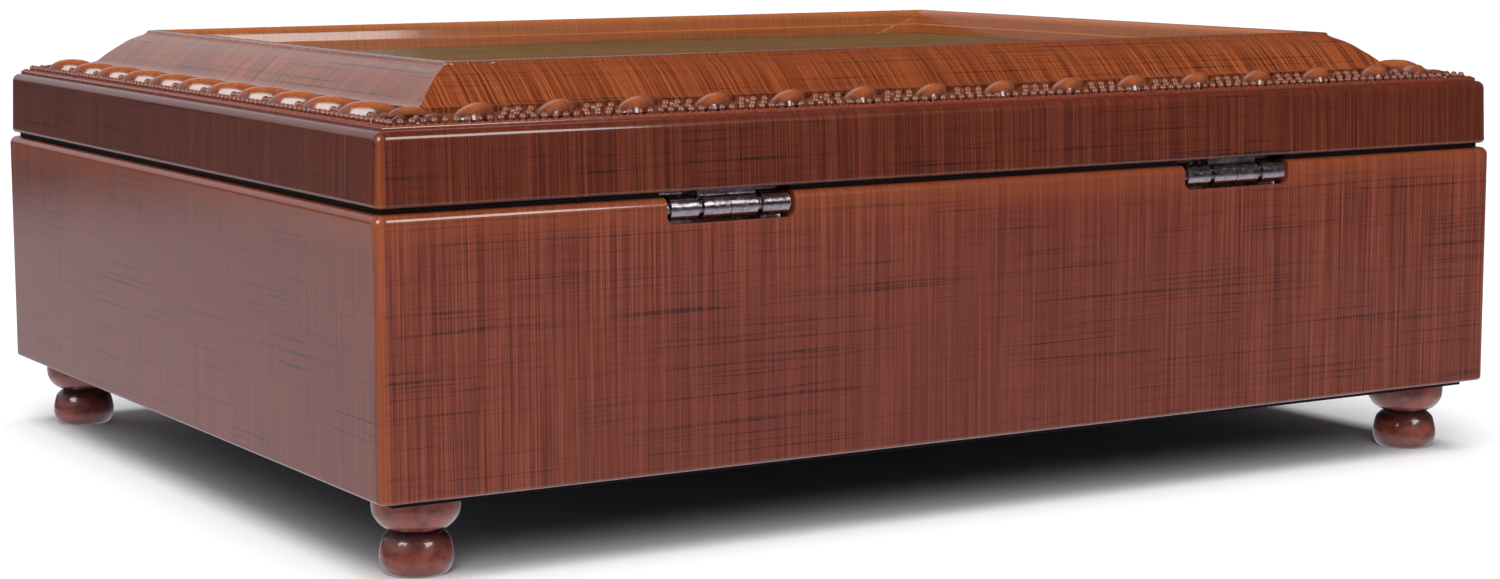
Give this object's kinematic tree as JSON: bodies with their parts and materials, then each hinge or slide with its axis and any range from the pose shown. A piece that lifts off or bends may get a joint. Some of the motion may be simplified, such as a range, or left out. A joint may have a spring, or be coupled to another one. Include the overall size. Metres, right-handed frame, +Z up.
{
  "type": "wind-up music box",
  "caption": "Hinged wooden wind-up music box on bun feet: raised picture-frame lid with beaded trim, lined compartments, and a comb-and-cylinder movement wound by a key underneath.",
  "frame": {"origin": "middle of the footprint at the underside of the feet", "axes": "+X along the length, +Y towards the hinges at the back, +Z up"},
  "size_m": [0.2094, 0.165, 0.0723],
  "materials": {
    "walnut_lacquer": "gloss lacquered reddish-brown wood, fine crosshatched grain",
    "walnut_lacquer_lid": "gloss lacquered reddish-brown wood",
    "walnut_moulding": "gloss lacquered reddish-brown wood",
    "trim_composition": "cast lobed and beaded ornament, gloss brown stain",
    "foot_lacquer": "turned wood, gloss reddish-brown lacquer",
    "plywood": "thin plywood",
    "divider_wood": "satin reddish-brown wood",
    "black_felt": "black felt",
    "velvet": "black velvet",
    "clear_acrylic": "clear acrylic",
    "picture_glass": "clear picture glass",
    "picture_card": "plain dark olive-brown card",
    "backing_board": "grey board",
    "mirror_glass": "bevelled mirror",
    "brass_clip": "bright brass",
    "black_nickel": "black nickel plate",
    "bedplate_zinc": "plated die-cast zinc",
    "steel_screw": "turned steel",
    "spring_steel_cover": "pressed plated steel",
    "blued_steel": "blued spring steel",
    "brass_key": "bright brass",
    "brass_gear": "cut brass",
    "brass_cylinder": "polished brass",
    "comb_steel": "ground hardened steel",
    "nylon_gear": "white nylon"
  },
  "bodies": {
    "base": {"base_walls": "walnut_lacquer", "ball_feet": "foot_lacquer", "foot_screws": "steel_screw", "bottom_panel": "plywood", "felt_base": "black_felt", "rim_felt": "black_felt", "long_divider": "divider_wood", "short_divider": "divider_wood", "window_ledges": "divider_wood", "back_tray_lining": "velvet", "ring_tray_lining": "velvet", "floor_pad": "velvet", "ring_rolls": "velvet", "movement_window": "clear_acrylic", "hinge_lower_leaves": "black_nickel", "hinge_pins": "black_nickel", "lower_hinge_screws": "black_nickel", "bedplate": "bedplate_zinc", "bedplate_screws": "steel_screw", "spring_housing": "spring_steel_cover", "mainspring": "blued_steel", "cylinder_brackets": "bedplate_zinc", "comb": "comb_steel", "comb_screws": "steel_screw", "governor_frame": "bedplate_zinc", "governor_screw": "steel_screw", "stop_rod_guide": "bedplate_zinc"},
    "lid": {"lid_frame": "walnut_lacquer_lid", "lid_moulding": "walnut_moulding", "beaded_trim": "trim_composition", "picture_glass": "picture_glass", "picture_card": "picture_card", "backing_board": "backing_board", "glazing_points": "steel_screw", "lid_lining": "velvet", "lid_mirror": "mirror_glass", "mirror_clips": "brass_clip", "hinge_upper_leaves": "black_nickel", "upper_hinge_screws": "black_nickel"},
    "drive": {"wind_up_key": "brass_key", "winding_arbor": "steel_screw", "crown_wheel": "brass_gear"},
    "cylinder": {"music_cylinder": "brass_cylinder", "cylinder_arbor": "steel_screw", "cylinder_pinion": "brass_gear", "cylinder_wheel": "brass_gear"},
    "governor_shaft_1": {"governor_pinion_1": "brass_gear", "governor_wheel_1": "brass_gear"},
    "governor_shaft_2": {"governor_pinion_2": "brass_gear", "governor_wheel_2": "nylon_gear"},
    "fan": {"worm_shaft": "steel_screw", "fan_blades": "nylon_gear"},
    "stop": {"stop_rod": "steel_screw", "stop_arm": "steel_screw", "stop_spring": "steel_screw"}
  },
  "joints": [
    {"name": "lid_hinge", "type": "hinge", "parent": "base", "child": "lid", "pos_m": [0, 0.0807, 0.0509], "axis": [-1, 0, 0], "range_deg": [0, 110]},
    {"name": "key_turn", "type": "hinge", "parent": "base", "child": "drive", "pos_m": [-0.0415, -0.036, 0.015], "axis": [0, 0, 1], "continuous": true},
    {"name": "cylinder_turn", "type": "hinge", "parent": "base", "child": "cylinder", "pos_m": [-0.0665, -0.036, 0.03], "axis": [1, 0, 0], "continuous": true},
    {"name": "governor_1_turn", "type": "hinge", "parent": "base", "child": "governor_shaft_1", "pos_m": [-0.0825, -0.0278, 0.03733], "axis": [1, 0, 0], "continuous": true},
    {"name": "governor_2_turn", "type": "hinge", "parent": "base", "child": "governor_shaft_2", "pos_m": [-0.084, -0.0233, 0.0323], "axis": [1, 0, 0], "continuous": true},
    {"name": "fan_turn", "type": "hinge", "parent": "base", "child": "fan", "pos_m": [-0.085, -0.0184, 0.035], "axis": [0, 0, 1], "continuous": true},
    {"name": "stop_slide", "type": "slide", "parent": "base", "child": "stop", "axis": [0, 0, 1], "range_m": [0, 0.0017], "deforming": ["stop_spring"]}
  ],
  "couplings": [
    {"joint": "cylinder_turn", "follows": "key_turn", "ratio": -2.8571},
    {"joint": "governor_1_turn", "follows": "key_turn", "ratio": 11.429},
    {"joint": "governor_2_turn", "follows": "key_turn", "ratio": -45.714},
    {"joint": "fan_turn", "follows": "key_turn", "ratio": 1142.9},
    {"joint": "stop_slide", "follows": "lid_hinge", "m_per_rad": 0.00083339}
  ]
}
